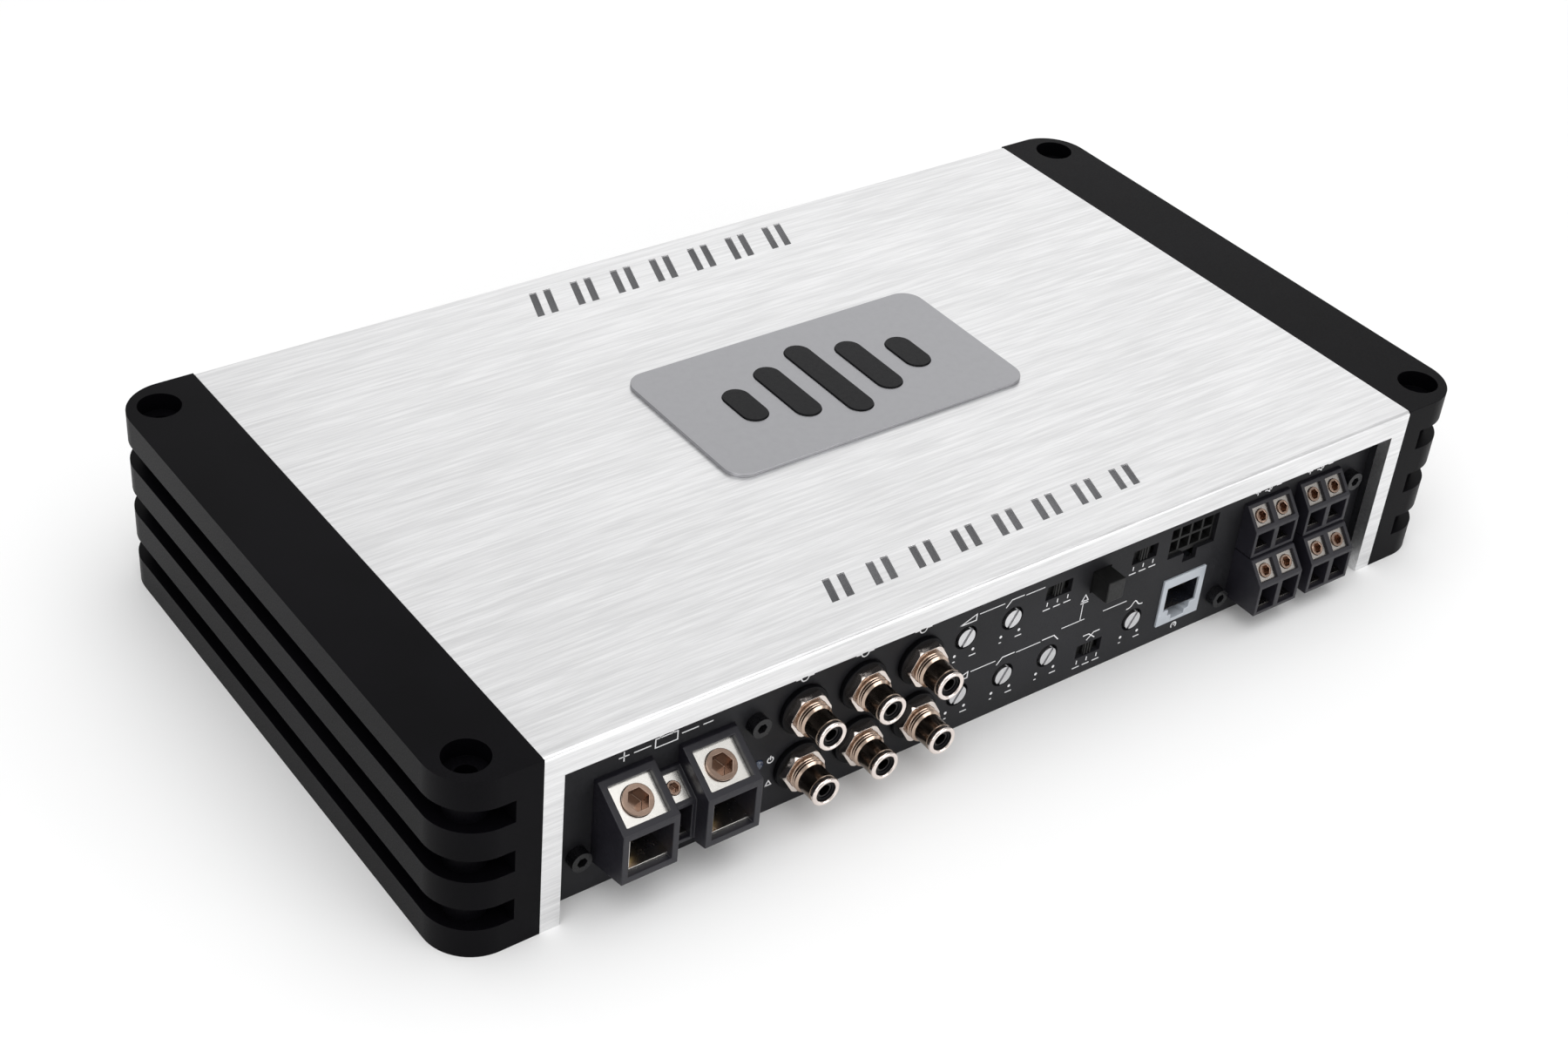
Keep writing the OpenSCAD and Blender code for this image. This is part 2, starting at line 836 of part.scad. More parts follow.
// A pole's metal: a threaded plate across the well and a floor for the wire,
// joined by a cheek along the -X side
module pole_contact(x, width, shape, rim, plate, screw_d, well_depth) {
    well = face_length(shape) - 2 * rim;
    y_mouth = y_panel - shape[0] + contact_sink;
    y_rear = y_panel + shape[6] - housing_back - slide_gap;
    floor_z = shape[2] + rim;
    x_cheek = x - width / 2 + plate[2] / 2;
    on_face(x, shape)
        difference() {
            translate([-width / 2, -well / 2, -plate[1]])
                cube([width, well, plate[1] - plate[0]]);
            translate([0, 0, -plate[1] - cut])
                cylinder(h = plate[1] + 2 * cut, d = screw_d + 2 * spin_gap);
        }
    on_face(x_cheek, shape)
        translate([-plate[2] / 2, -well / 2, -well_depth])
            cube([plate[2], well, well_depth - plate[0] - weld]);
    span_box(x_cheek, plate[2], y_mouth, y_rear, floor_z, shape[4] - rim);
    span_box(x, width, y_mouth, y_rear, floor_z, floor_z + plate[2]);
}

module power_contacts() {
    color("#c9c4bd")
    for (x = power_x)
        pole_contact(x, power_width - 2 * power_rim - 2 * weld, power_shape, power_rim,
            power_plate, power_screw_d, power_well - slide_gap);
    color("#c9c4bd")
    pole_contact(remote_x, remote_width - 2 * remote_rim - 2 * weld, remote_shape, remote_rim,
        remote_plate, remote_screw_d, small_well - slide_gap);
}

// A clamp screw with a hexagon socket, raised to its open position
module clamp_screw(x, shape, d, plate, length) {
    on_face(x, shape)
        difference() {
            translate([0, 0, -length])
                cylinder(h = length - plate[0] + screw_rise(d), d = d);
            translate([0, 0, -plate[0] + screw_rise(d) - d * clamp_key_depth])
                cylinder(h = d, d = d * clamp_key / cos(30), $fn = 6);
        }
}

// The foot under a clamp screw that presses on the wire
module clamp_pad(x, shape, d, length, thick) {
    on_face(x, shape)
        translate([0, 0, -length - thick])
            cylinder(h = thick, d = d * 0.9);
}

module positive_screw() {
    color("#a98f82")
    clamp_screw(power_x[0], power_shape, power_screw_d, power_plate, power_screw_length);
}

module negative_screw() {
    color("#a98f82")
    clamp_screw(power_x[1], power_shape, power_screw_d, power_plate, power_screw_length);
}

module remote_screw() {
    color("#a98f82")
    clamp_screw(remote_x, remote_shape, remote_screw_d, remote_plate, small_screw_length);
}

module positive_pad() {
    color("#b8943f")
    clamp_pad(power_x[0], power_shape, power_screw_d, power_screw_length, power_pad_thick);
}

module negative_pad() {
    color("#b8943f")
    clamp_pad(power_x[1], power_shape, power_screw_d, power_screw_length, power_pad_thick);
}

module remote_pad() {
    color("#b8943f")
    clamp_pad(remote_x, remote_shape, remote_screw_d, small_screw_length, small_pad_thick);
}

module speaker_housings() {
    color("#3a3941")
    for (x = speaker_x, shape = [upper_shape, lower_shape])
        difference() {
            terminal_outline(x, speaker_width, shape);
            for (side = [-1, 1])
                pole_hollow(x + side * pole_pitch / 2, pole_width, shape, speaker_rim, small_well);
        }
}

module speaker_contacts() {
    color("#c9c4bd")
    for (pole = poles)
        pole_contact(pole[0], pole_width - 2 * weld, pole[1], speaker_rim, speaker_plate,
            speaker_screw_d, small_well - slide_gap);
}

module speaker_screw(index) {
    color("#a98f82")
    clamp_screw(poles[index][0], poles[index][1], speaker_screw_d, speaker_plate,
        small_screw_length);
}

module speaker_pad(index) {
    color("#b8943f")
    clamp_pad(poles[index][0], poles[index][1], speaker_screw_d, small_screw_length, small_pad_thick);
}

// ---- Phono jacks ----

module phono_shells() {
    outer = jack_plug_d / 2;
    thread = jack_thread_d / 2;
    bore = jack_core_d / 2;
    shoulder = jack_neck + 0.9;
    color("#3b322c")
    for (at = jacks)
        on_panel(at)
            rotate_extrude()
                polygon([
                    [bore, -jack_rear], [thread, -jack_rear], [thread, jack_neck],
                    [outer, shoulder], [outer, jack_reach - jack_lip], [outer - jack_lip, jack_reach],
                    [bore + jack_lip / 2, jack_reach], [bore, jack_reach - jack_lip / 2]
                ]);
}

module phono_nuts() {
    color("#c9aa9b")
    for (at = jacks)
        on_panel(at, jack_washer_h)
            difference() {
                intersection() {
                    cylinder(h = jack_nut_h, d = jack_nut_flats / cos(30), $fn = 6);
                    cylinder(h = jack_nut_h, d1 = jack_nut_flats + 2.8, d2 = jack_nut_flats + 0.9);
                }
                translate([0, 0, -cut])
                    cylinder(h = jack_nut_h + 2 * cut, d = jack_thread_d + 2 * thread_gap);
            }
}

// Insulating washers: one with a shoulder in front, one plain behind the panel
module phono_washers() {
    color("#161618")
    for (at = jacks)
        on_panel(at)
            difference() {
                union() {
                    cylinder(h = jack_washer_h, d = jack_washer_d);
                    translate([0, 0, -panel_thick])
                        cylinder(h = panel_thick + weld, d = jack_shoulder_d);
                    translate([0, 0, -panel_thick - jack_washer_h])
                        cylinder(h = jack_washer_h, d = jack_washer_d);
                }
                translate([0, 0, -panel_thick - jack_washer_h - cut])
                    cylinder(h = panel_thick + 2 * jack_washer_h + 2 * cut,
                        d = jack_thread_d + 2 * thread_gap);
            }
}

module phono_cores() {
    color("#121214")
    for (at = jacks)
        on_panel(at)
            translate([0, 0, -jack_rear - 1])
                difference() {
                    cylinder(h = jack_rear + 1 + jack_reach - jack_core_sink, d = jack_core_d);
                    translate([0, 0, -cut])
                        cylinder(h = jack_rear + 1 + jack_reach + cut, d = jack_contact_d);
                }
}

module phono_contacts() {
    color("#b9a27a")
    for (at = jacks)
        on_panel(at)
            difference() {
                translate([0, 0, -jack_rear - jack_tail])
                    cylinder(h = jack_rear + jack_tail + jack_reach - jack_contact_sink,
                        d = jack_contact_d);
                translate([0, 0, jack_reach - jack_pin_hole_depth])
                    cylinder(h = jack_pin_hole_depth, d = jack_pin_hole_d);
            }
}

// ---- Controls ----

module trimmer_bodies() {
    color("#26262a")
    for (at = trimmers)
        difference() {
            on_panel(at, -panel_thick)
                translate([-trimmer_body / 2, -trimmer_body / 2, -trimmer_body_depth])
                    cube([trimmer_body, trimmer_body, trimmer_body_depth]);
            on_panel(at)
                translate([0, 0, -trimmer_length - fit_gap])
                    cylinder(h = trimmer_length + fit_gap + cut, d = trimmer_d + 2 * spin_gap);
        }
}

module trimmer(index) {
    color("#c3c4c8")
    on_panel(trimmers[index])
        difference() {
            translate([0, 0, -trimmer_length])
                cylinder(h = trimmer_length + trimmer_proud, d = trimmer_d);
            rotate([0, 0, trimmer_angle])
                translate([-trimmer_d, -slot_width / 2, trimmer_proud - slot_depth])
                    cube([2 * trimmer_d, slot_width, slot_depth + cut]);
        }
}

// Open-fronted case of a slide switch, and the case of the mode button
module switch_bodies() {
    color("#1a1a1c")
    for (at = switches)
        difference() {
            span_box(at[0], slide_case_x + 2 * switch_wall, y_inside,
                y_inside + switch_body_depth, at[1] - slide_case_z / 2 - switch_wall,
                at[1] + slide_case_z / 2 + switch_wall);
            span_box(at[0], slide_case_x, y_inside - cut, y_inside + switch_body_depth - switch_wall,
                at[1] - slide_case_z / 2, at[1] + slide_case_z / 2);
        }
    color("#1a1a1c")
    difference() {
        panel_block(button_at, button_x + button_case[0], button_z + button_case[1],
            panel_thick, button_case_inner + switch_wall);
        panel_block(button_at, button_x + 2 * (button_flange + fit_gap),
            button_z + 2 * fit_gap, 0, button_case_inner);
    }
}

// A block behind the panel, from depth d0 to depth d1
module panel_block(at, width, height, d0, d1) {
    span_box(at[0], width, y_panel + d0, y_panel + d1, at[1] - height / 2, at[1] + height / 2);
}

// A switch slider: a finger in the window on a wider plate behind the panel
module slider(index) {
    at = switches[index];
    inner = slide_case_z - 2 * slide_gap;
    color("#303034")
    union() {
        panel_block(at, slider_x, inner, slider_recess, panel_thick + slide_gap + slider_depth);
        panel_block(at, slider_x + 2 * slider_plate, inner, panel_thick + slide_gap,
            panel_thick + slide_gap + slider_depth);
        for (x = [-1, 0, 1])
            panel_block([at[0] + x, at[1]], slider_rib[0], inner, slider_recess - slider_rib[1],
                slider_recess + weld);
    }
}

module input_mode_button() {
    color("#17171a")
    union() {
        panel_block(button_at, button_x, button_z, -button_reach, button_depth);
        panel_block(button_at, button_x + 2 * button_flange, button_z,
            panel_thick + slide_gap, panel_thick + slide_gap + button_flange_depth);
    }
}

// ---- Sockets and lights ----

// Places children at each cell of the eight-way header, as [x, z] in $cell
module header_cells() {
    for (column = [0 : header_columns - 1], row = [0 : header_rows - 1]) {
        $cell = [header_at[0] + (column - (header_columns - 1) / 2) * header_pitch,
            header_at[1] + (row - (header_rows - 1) / 2) * header_pitch];
        children();
    }
}

module input_header() {
    color("#161618")
    difference() {
        union() {
            panel_block(header_at, header_x, header_z, header_sink, header_depth);
            panel_block([header_at[0], header_at[1] - header_z / 2], latch_x - 2 * slide_gap,
                latch_bar, header_sink, latch_depth);
        }
        header_cells()
            panel_block($cell, header_cell, header_cell, 0, header_depth - header_floor);
    }
    color("#b9a27a")
    header_cells()
        panel_block($cell, contact_pin, contact_pin, header_sink + header_floor,
            header_depth - header_floor + weld);
}

module remote_socket() {
    color("#dfe3e6", 0.8)
    difference() {
        panel_block(socket_at, socket_x, socket_z, -socket_proud, socket_depth);
        panel_block([socket_at[0], socket_at[1] + socket_mouth_rise], socket_mouth_x,
            socket_mouth_z, -cut, socket_depth - socket_floor);
        for (key = socket_keys)
            panel_block([socket_at[0], socket_at[1] + socket_mouth_rise - socket_mouth_z / 2 - key[2]],
                key[0], key[1] + 2 * weld, -cut, socket_depth - socket_floor);
    }
}

module status_leds() {
    color("#3a6db5")
    for (z = led_heights)
        on_panel([led_x, z])
            rotate_extrude()
                polygon(concat(
                    [[0, -panel_thick], [led_d / 2, -panel_thick], [led_d / 2, 0]],
                    [for (a = [15 : 15 : 90]) [cos(a) * led_d / 2, sin(a) * led_dome]]
                ));
}

top_cover();
left_end_cap();
right_end_cap();
base_plate();
connector_panel();
end_cap_screws();
base_screws();
panel_screws();
badge_plate();
badge_inlay();
main_board();
capacitors();
toroid_coils();
power_transistors();
power_terminal_housing();
power_contacts();
positive_pad();
positive_screw();
negative_pad();
negative_screw();
remote_pad();
remote_screw();
speaker_housings();
speaker_contacts();
speaker_pad(0);  // speaker_pad_1
speaker_pad(1);  // speaker_pad_2
speaker_pad(2);  // speaker_pad_3
speaker_pad(3);  // speaker_pad_4
speaker_pad(4);  // speaker_pad_5
speaker_pad(5);  // speaker_pad_6
speaker_pad(6);  // speaker_pad_7
speaker_pad(7);  // speaker_pad_8
speaker_screw(0);  // speaker_screw_1
speaker_screw(1);  // speaker_screw_2
speaker_screw(2);  // speaker_screw_3
speaker_screw(3);  // speaker_screw_4
speaker_screw(4);  // speaker_screw_5
speaker_screw(5);  // speaker_screw_6
speaker_screw(6);  // speaker_screw_7
speaker_screw(7);  // speaker_screw_8
phono_shells();
phono_nuts();
phono_washers();
phono_cores();
phono_contacts();
trimmer_bodies();
trimmer(0);  // front_level_trimmer
trimmer(1);  // front_highpass_trimmer
trimmer(2);  // rear_level_trimmer
trimmer(3);  // rear_highpass_trimmer
trimmer(4);  // lowpass_trimmer
trimmer(5);  // bass_boost_trimmer
switch_bodies();
slider(0);  // front_crossover_slider
slider(1);  // rear_crossover_slider
slider(2);  // turn_on_slider
input_mode_button();
input_header();
remote_socket();
status_leds();
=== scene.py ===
"""Looks of the four-channel car amplifier: finishes for its CAD parts, and the
details that are too fine for the CAD model."""

import json
import math

import bmesh
import bpy
from mathutils import Matrix, Vector


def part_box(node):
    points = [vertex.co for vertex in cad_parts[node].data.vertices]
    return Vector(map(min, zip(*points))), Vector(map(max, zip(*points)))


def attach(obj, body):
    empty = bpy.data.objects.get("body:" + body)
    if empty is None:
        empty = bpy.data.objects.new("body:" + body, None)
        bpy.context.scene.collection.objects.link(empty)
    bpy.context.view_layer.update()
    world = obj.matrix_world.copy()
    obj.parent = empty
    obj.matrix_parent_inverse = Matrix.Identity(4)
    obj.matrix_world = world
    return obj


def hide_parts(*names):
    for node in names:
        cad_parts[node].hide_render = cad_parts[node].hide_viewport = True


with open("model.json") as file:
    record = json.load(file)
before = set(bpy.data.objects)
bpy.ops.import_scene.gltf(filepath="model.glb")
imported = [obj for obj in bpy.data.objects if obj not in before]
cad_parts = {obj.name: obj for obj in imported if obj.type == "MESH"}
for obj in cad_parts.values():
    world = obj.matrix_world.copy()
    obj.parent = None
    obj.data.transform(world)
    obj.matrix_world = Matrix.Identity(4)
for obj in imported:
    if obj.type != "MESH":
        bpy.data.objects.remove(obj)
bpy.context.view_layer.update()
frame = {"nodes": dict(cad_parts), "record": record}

MM = 0.001
BODY = "chassis"


# ---- Places on the object, read from the frame ----


def middle(node):
    low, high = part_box(node)
    return (low + high) / 2


PANEL_THICK = 1.5 * MM
WASHER_RADIUS = 7 * MM
PANEL_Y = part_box("connector_panel")[1].y - PANEL_THICK
TOP_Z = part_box("top_cover")[1].z
TRIMMERS = (
    "front_level_trimmer",
    "front_highpass_trimmer",
    "rear_level_trimmer",
    "rear_highpass_trimmer",
    "lowpass_trimmer",
    "bass_boost_trimmer",
)
SLIDERS = ("front_crossover_slider", "rear_crossover_slider", "turn_on_slider")


def jack_places():
    """Centres of the six phono jacks on the panel, as (x, z)."""
    low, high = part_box("phono_washers")
    columns = [low.x + WASHER_RADIUS, (low.x + high.x) / 2, high.x - WASHER_RADIUS]
    rows = [low.z + WASHER_RADIUS, high.z - WASHER_RADIUS]
    return [(x, z) for x in columns for z in rows]


# ---- Materials ----


class Finish:
    """A Principled material and the procedural helpers that shape it. Its
    patterns use object coordinates, which are the frame's own, in metres."""

    def __init__(self, name, colour, **sockets):
        self.material = bpy.data.materials.new(name)
        self.material.use_nodes = True
        self.tree = self.material.node_tree
        self.shader = self.tree.nodes["Principled BSDF"]
        self.colour = colour
        self.shader.inputs["Base Color"].default_value = (*colour, 1)
        for socket, value in sockets.items():
            self.shader.inputs[socket.replace("_", " ")].default_value = value
        self.place = self.add("ShaderNodeTexCoord").outputs["Object"]

    def add(self, kind, **settings):
        node = self.tree.nodes.new(kind)
        for name, value in settings.items():
            setattr(node, name, value)
        return node

    def join(self, source, target):
        self.tree.links.new(source, target)

    def noise(self, frequency, detail=2.0, roughness=0.5):
        """Noise with a frequency along each axis, in cycles a metre."""
        mapping = self.add("ShaderNodeMapping")
        mapping.inputs["Scale"].default_value = frequency
        self.join(self.place, mapping.inputs["Vector"])
        noise = self.add("ShaderNodeTexNoise")
        noise.inputs["Scale"].default_value = 1
        noise.inputs["Detail"].default_value = detail
        noise.inputs["Roughness"].default_value = roughness
        self.join(mapping.outputs["Vector"], noise.inputs["Vector"])
        return noise.outputs["Fac"]

    def spread(self, value, low, high, start=0.3, end=0.7):
        """A value's span from start to end, taken to low and high."""
        ranger = self.add("ShaderNodeMapRange")
        ranger.inputs["From Min"].default_value = start
        ranger.inputs["From Max"].default_value = end
        ranger.inputs["To Min"].default_value = low
        ranger.inputs["To Max"].default_value = high
        self.join(value, ranger.inputs["Value"])
        return ranger.outputs["Result"]

    def product(self, one, other):
        node = self.add("ShaderNodeMath", operation="MULTIPLY")
        self.join(one, node.inputs[0])
        self.join(other, node.inputs[1])
        return node.outputs["Value"]

    def total(self, one, other):
        node = self.add("ShaderNodeMath", operation="ADD")
        self.join(one, node.inputs[0])
        self.join(other, node.inputs[1])
        return node.outputs["Value"]

    def blend(self, factor, first, second):
        node = self.add("ShaderNodeMix", data_type="RGBA")
        self.join(factor, node.inputs["Factor"])
        node.inputs["A"].default_value = (*first, 1)
        node.inputs["B"].default_value = (*second, 1)
        return node.outputs["Result"]

    def shade(self, factor, depth):
        """Varies the colour around its own value, by depth each way."""
        dark = tuple(c * (1 - depth) for c in self.colour)
        light = tuple(min(1.0, c * (1 + depth)) for c in self.colour)
        self.join(self.blend(factor, dark, light), self.shader.inputs["Base Color"])

    def gloss(self, value, low, high):
        self.join(self.spread(value, low, high), self.shader.inputs["Roughness"])

    def bump(self, height, depth, strength=1.0):
        """Raises the surface by up to depth metres."""
        node = self.add("ShaderNodeBump")
        node.inputs["Strength"].default_value = strength
        node.inputs["Distance"].default_value = depth
        self.join(height, node.inputs["Height"])
        self.join(node.outputs["Normal"], self.shader.inputs["Normal"])


def brushed_cover():
    finish = Finish("brushed_cover", (0.79, 0.79, 0.795), Metallic=1.0, Roughness=0.36)
    fine = finish.noise((70, 2600, 2600), detail=4, roughness=0.75)
    broad = finish.noise((45, 1100, 1100), detail=2)
    cloud = finish.noise((14, 22, 22), detail=2)
    streak = finish.total(finish.product(fine, broad), finish.spread(cloud, -0.02, 0.02))
    finish.shade(finish.spread(streak, 0, 1, 0.14, 0.38), 0.1)
    finish.gloss(fine, 0.32, 0.44)
    finish.bump(fine, 0.016 * MM, 0.35)
    return finish.material


def satin_black(name, colour, rough, specular=0.1, grain=2600, depth=0.015):
    """Dark anodised or coated metal with a fine even grain."""
    finish = Finish(name, colour, Roughness=rough)
    finish.shader.inputs["Specular IOR Level"].default_value = specular
    speck = finish.noise((grain, grain, grain), detail=2)
    cloud = finish.noise((35, 35, 35), detail=2)
    finish.shade(finish.spread(finish.product(speck, cloud), 0, 1, 0.15, 0.36), 0.3)
    finish.gloss(speck, rough - 0.06, rough + 0.08)
    finish.bump(speck, depth * MM, 0.5)
    return finish.material


def moulded(name, colour, rough=0.38, specular=0.5):
    """Moulded plastic with a slight orange peel."""
    finish = Finish(name, colour, Roughness=rough)
    finish.shader.inputs["Specular IOR Level"].default_value = specular
    peel = finish.noise((900, 900, 900), detail=2)
    cloud = finish.noise((120, 120, 120), detail=1)
    finish.shade(cloud, 0.18)
    finish.gloss(peel, rough - 0.06, rough + 0.1)
    finish.bump(peel, 0.02 * MM, 0.35)
    return finish.material


def plated(name, colour, rough=0.2, tarnish=0.16):
    """Plated or machined metal, a little uneven in colour and gloss."""
    finish = Finish(name, colour, Metallic=1.0, Roughness=rough)
    cloud = finish.noise((420, 420, 420), detail=3, roughness=0.6)
    scratch = finish.noise((3000, 500, 3000), detail=2)
    finish.shade(cloud, tarnish)
    finish.gloss(finish.product(cloud, scratch), rough, rough + 0.2)
    finish.bump(scratch, 0.006 * MM, 0.2)
    return finish.material


def circuit_board():
    finish = Finish("circuit_board", (0.012, 0.075, 0.03), Roughness=0.35)
    tracks = finish.noise((260, 900, 60), detail=1)
    finish.shade(finish.spread(tracks, 0, 1, 0.46, 0.54), 0.35)
    finish.bump(tracks, 0.03 * MM, 0.3)
    return finish.material


def copper_winding():
    finish = Finish("copper_winding", (0.42, 0.15, 0.055), Roughness=0.3, Metallic=0.6)
    turns = finish.noise((1400, 1400, 90), detail=1)
    finish.shade(turns, 0.3)
    finish.bump(turns, 0.2 * MM, 0.6)
    return finish.material


def socket_clear():
    finish = Finish("socket_clear", (0.44, 0.47, 0.51), Roughness=0.16)
    finish.shader.inputs["Subsurface Weight"].default_value = 0.25
    finish.shader.inputs["Subsurface Radius"].default_value = (0.002, 0.002, 0.0022)
    finish.shader.inputs["Coat Weight"].default_value = 0.4
    haze = finish.noise((260, 260, 260), detail=2)
    finish.shade(haze, 0.08)
    finish.gloss(haze, 0.12, 0.28)
    return finish.material


def status_lens():
    finish = Finish("status_lens", (0.03, 0.045, 0.08), Roughness=0.12)
    finish.shader.inputs["Coat Weight"].default_value = 0.6
    haze = finish.noise((900, 900, 900), detail=1)
    finish.shade(haze, 0.25)
    return finish.material


def printed_ink():
    finish = Finish("printed_ink", (0.78, 0.78, 0.79), Roughness=0.55)
    wear = finish.noise((1500, 1500, 1500), detail=2)
    finish.shade(wear, 0.12)
    finish.bump(wear, 0.01 * MM, 0.4)
    return finish.material


def plain_floor():
    finish = Finish("plain_floor", (0.9, 0.9, 0.9), Roughness=0.7)
    finish.shader.inputs["Specular IOR Level"].default_value = 0.15
    finish.shade(finish.noise((3, 3, 3), detail=1), 0.01)
    return finish.material


def make_finishes():
    """Every slot of the record, with the finish that it gets here."""
    return {
        "brushed_cover": brushed_cover(),
        "black_anodised": satin_black("black_anodised", (0.0020, 0.0018, 0.0026), 0.40, 0.05),
        "sheet_steel": plated("sheet_steel", (0.36, 0.36, 0.37), 0.4, 0.1),
        "panel_black": satin_black("panel_black", (0.0115, 0.0115, 0.0135), 0.5, 0.2, 1800, 0.02),
        "black_screws": satin_black("black_screws", (0.006, 0.006, 0.007), 0.3, 0.3),
        "zinc_screws": plated("zinc_screws", (0.55, 0.56, 0.58), 0.32),
        "badge_satin": plated("badge_satin", (0.37, 0.37, 0.385), 0.34, 0.06),
        "badge_black": moulded("badge_black", (0.004, 0.004, 0.005), 0.3, 0.12),
        "circuit_board": circuit_board(),
        "capacitor_sleeve": moulded("capacitor_sleeve", (0.015, 0.03, 0.1), 0.3),
        "copper_winding": copper_winding(),
        "transistor_resin": moulded("transistor_resin", (0.012, 0.012, 0.013), 0.5),
        "terminal_plastic": moulded("terminal_plastic", (0.0125, 0.0118, 0.0165), 0.36, 0.35),
        "plated_contact": plated("plated_contact", (0.80, 0.78, 0.74), 0.24, 0.08),
        "brass_pad": plated("brass_pad", (0.66, 0.47, 0.20), 0.28),
        "nickel_screw": plated("nickel_screw", (0.33, 0.235, 0.185), 0.16, 0.14),
        "dark_chrome": plated("dark_chrome", (0.235, 0.19, 0.155), 0.18, 0.14),
        "nickel_nut": plated("nickel_nut", (0.78, 0.71, 0.66), 0.18, 0.08),
        "insulator_black": moulded("insulator_black", (0.0035, 0.0035, 0.0045), 0.4, 0.1),
        "switch_plastic": moulded("switch_plastic", (0.009, 0.009, 0.0088), 0.42, 0.25),
        "trimmer_metal": plated("trimmer_metal", (0.70, 0.70, 0.71), 0.32, 0.1),
        "socket_clear": socket_clear(),
        "status_lens": status_lens(),
    }


finishes = make_finishes()
extra = {
    "thread_copper": plated("thread_copper", (0.50, 0.385, 0.31), 0.18, 0.1),
    "tip_ring": plated("tip_ring", (0.84, 0.755, 0.71), 0.14, 0.06),
    "engraving_grey": satin_black("engraving_grey", (0.11, 0.11, 0.115), 0.45),
    "printed_ink": printed_ink(),
    "gold_wire": plated("gold_wire", (0.75, 0.58, 0.28), 0.2),
    # painted shade: a dark lining for the shade inside the clear socket's mouth
    "socket_dark": moulded("socket_dark", (0.010, 0.011, 0.015), 0.2),
    # painted shade: the phono contacts sit deep in their cores, and are near black for the shade
    # there
    "painted_shade_contact": plated("painted_shade_contact", (0.05, 0.047, 0.047), 0.3, 0.1),
    # painted shade: the speaker contacts are darker than the other plating, for the shade in their
    # recessed wells
    "painted_shade_speaker_contact": plated("painted_shade_speaker_contact", (0.34, 0.32, 0.30), 0.26, 0.14),
}


# ---- CAD nodes: finish, eased edges and shading ----


def shading_by_angle(limit_degrees):
    """A node group that shades smooth, and sharp where faces meet steeply."""
    group = bpy.data.node_groups.new("shading_by_angle", "GeometryNodeTree")
    for direction in ("INPUT", "OUTPUT"):
        group.interface.new_socket(
            "Geometry", in_out=direction, socket_type="NodeSocketGeometry"
        )
    nodes, join = group.nodes, group.links.new
    source, result = nodes.new("NodeGroupInput"), nodes.new("NodeGroupOutput")
    forget = nodes.new("GeometryNodeRemoveAttribute")
    forget.inputs["Name"].default_value = "custom_normal"
    angle = nodes.new("GeometryNodeInputMeshEdgeAngle")
    shallow = nodes.new("FunctionNodeCompare")
    shallow.data_type, shallow.operation = "FLOAT", "LESS_THAN"
    shallow.inputs["B"].default_value = math.radians(limit_degrees)
    faces = nodes.new("GeometryNodeSetShadeSmooth")
    edges = nodes.new("GeometryNodeSetShadeSmooth")
    edges.domain = "EDGE"
    join(source.outputs["Geometry"], forget.inputs["Geometry"])
    join(forget.outputs["Geometry"], faces.inputs["Geometry"])
    join(faces.outputs["Geometry"], edges.inputs["Geometry"])
    join(angle.outputs["Unsigned Angle"], shallow.inputs["A"])
    join(shallow.outputs["Result"], edges.inputs["Shade Smooth"])
    join(edges.outputs["Geometry"], result.inputs["Geometry"])
    return group


SMOOTH_BELOW, BEVEL_ABOVE, FLAT_BELOW = 38, 32, 0.6  # degrees between faces
SHADING = shading_by_angle(SMOOTH_BELOW)
# Edge radii in millimetres, where they differ from the rest
EDGE_RADII = {
    "top_cover": 0.45,
    "left_end_cap": 0.5,
    "right_end_cap": 0.5,
    "badge_plate": 0.25,
    "badge_inlay": 0.2,
    "power_terminal_housing": 0.25,
    "speaker_housings": 0.2,
    "phono_nuts": 0.18,
    "phono_washers": 0.25,
    "remote_socket": 0.2,
    "input_mode_button": 0.35,
    "panel_screws": 0.3,
    "end_cap_screws": 0.3,
    "power_contacts": 0.15,
}
EDGE_RADIUS = 0.12
# Nodes whose faces have several holes, and keep their triangles
PIERCED = ("power_terminal_housing", "speaker_housings", "input_header")


def ease(piece, radius):
    """Rounds a piece's edges by radius millimetres and shades it."""
    weld = piece.modifiers.new("weld", "WELD")
    weld.merge_threshold = 2e-6
    if piece.name not in PIERCED:
        flat = piece.modifiers.new("flat", "DECIMATE")
        flat.decimate_type, flat.angle_limit = "DISSOLVE", math.radians(FLAT_BELOW)
    bevel = piece.modifiers.new("bevel", "BEVEL")
    bevel.width, bevel.segments = radius * MM, 3
    bevel.limit_method, bevel.angle_limit = "ANGLE", math.radians(BEVEL_ABOVE)
    shading = piece.modifiers.new("shading", "NODES")
    shading.node_group = SHADING
    weighted = piece.modifiers.new("weighted", "WEIGHTED_NORMAL")
    weighted.keep_sharp = True


# Nodes that look different from the rest of their slot: contacts deep in their wells, darkened to
# paint the shade that falls there
OTHER_FINISHES = {
    "phono_contacts": extra["painted_shade_contact"],
    "speaker_contacts": extra["painted_shade_speaker_contact"],
}


def finish_cad_nodes():
    for row in frame["record"]["subparts"]:
        node = frame["nodes"][row["node"]]
        for slot in node.material_slots:
            slot.material = OTHER_FINISHES.get(row["node"]) or finishes[row["material_slot"]]
        ease(node, EDGE_RADII.get(row["node"], EDGE_RADIUS))


finish_cad_nodes()


# ---- Pieces ----


def add_piece(name, mesh, finish_name, body=BODY):
    """A new piece in the frame's coordinates, riding on a body."""
    piece = bpy.data.objects.new(name, mesh)
    bpy.context.scene.collection.objects.link(piece)
    for key in [finish_name] if isinstance(finish_name, str) else finish_name:
        mesh.materials.append(extra.get(key) or finishes[key])
    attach(piece, body)
    return piece


def finish_mesh(builder, name):
    """The builder's mesh, with its normals outward. It ends the builder."""
    bmesh.ops.recalc_face_normals(builder, faces=builder.faces)
    mesh = bpy.data.meshes.new(name)
    builder.to_mesh(mesh)
    builder.free()
    return mesh


